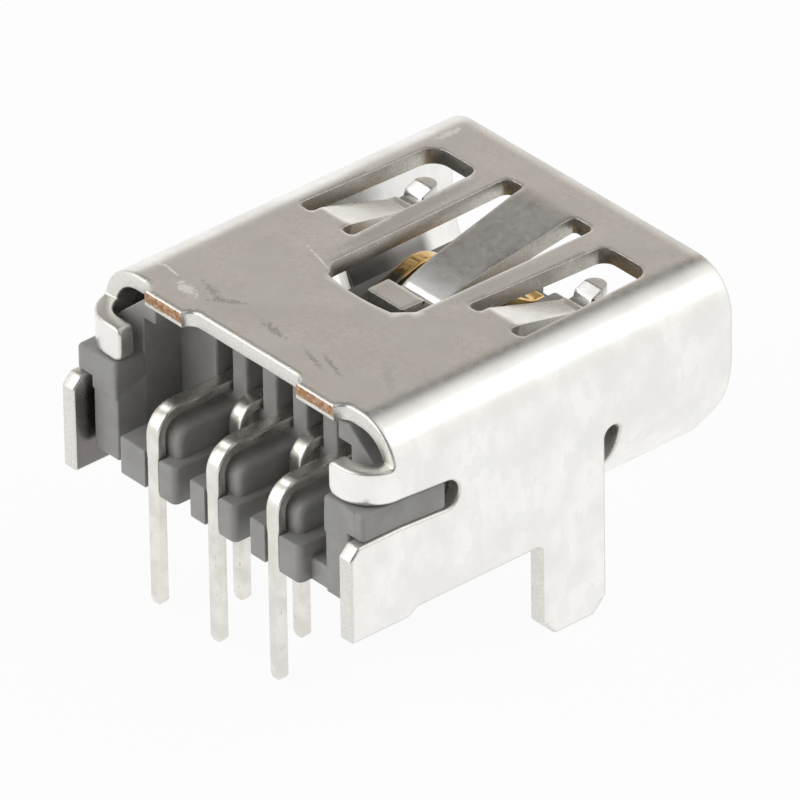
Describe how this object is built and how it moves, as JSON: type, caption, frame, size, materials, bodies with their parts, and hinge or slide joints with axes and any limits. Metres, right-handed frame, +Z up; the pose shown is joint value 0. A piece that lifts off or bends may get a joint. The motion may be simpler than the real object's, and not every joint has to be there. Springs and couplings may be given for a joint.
{
  "type": "mini usb socket",
  "caption": "Through-hole mini USB socket: folded metal shell with springs, legs and hooks round a grey housing with bent contact strips.",
  "frame": {"origin": "on the board's top, on the centre line, midway along the two solder legs", "axes": "+Z up from the board, -Y towards the mouth, +Y towards the tails, X across the socket"},
  "size_m": [0.0076, 0.0088, 0.0058],
  "materials": {
    "shell": "bright tin plating, bare copper alloy on the cut stubs",
    "housing": "grey moulded plastic, slightly mottled",
    "contact": "pale tin on the tails, gold in the mouth"
  },
  "bodies": {
    "root": {"shell": "shell", "housing": "housing", "contact_1": "contact", "contact_2": "contact", "contact_3": "contact", "contact_4": "contact", "contact_5": "contact"}
  },
  "joints": []
}
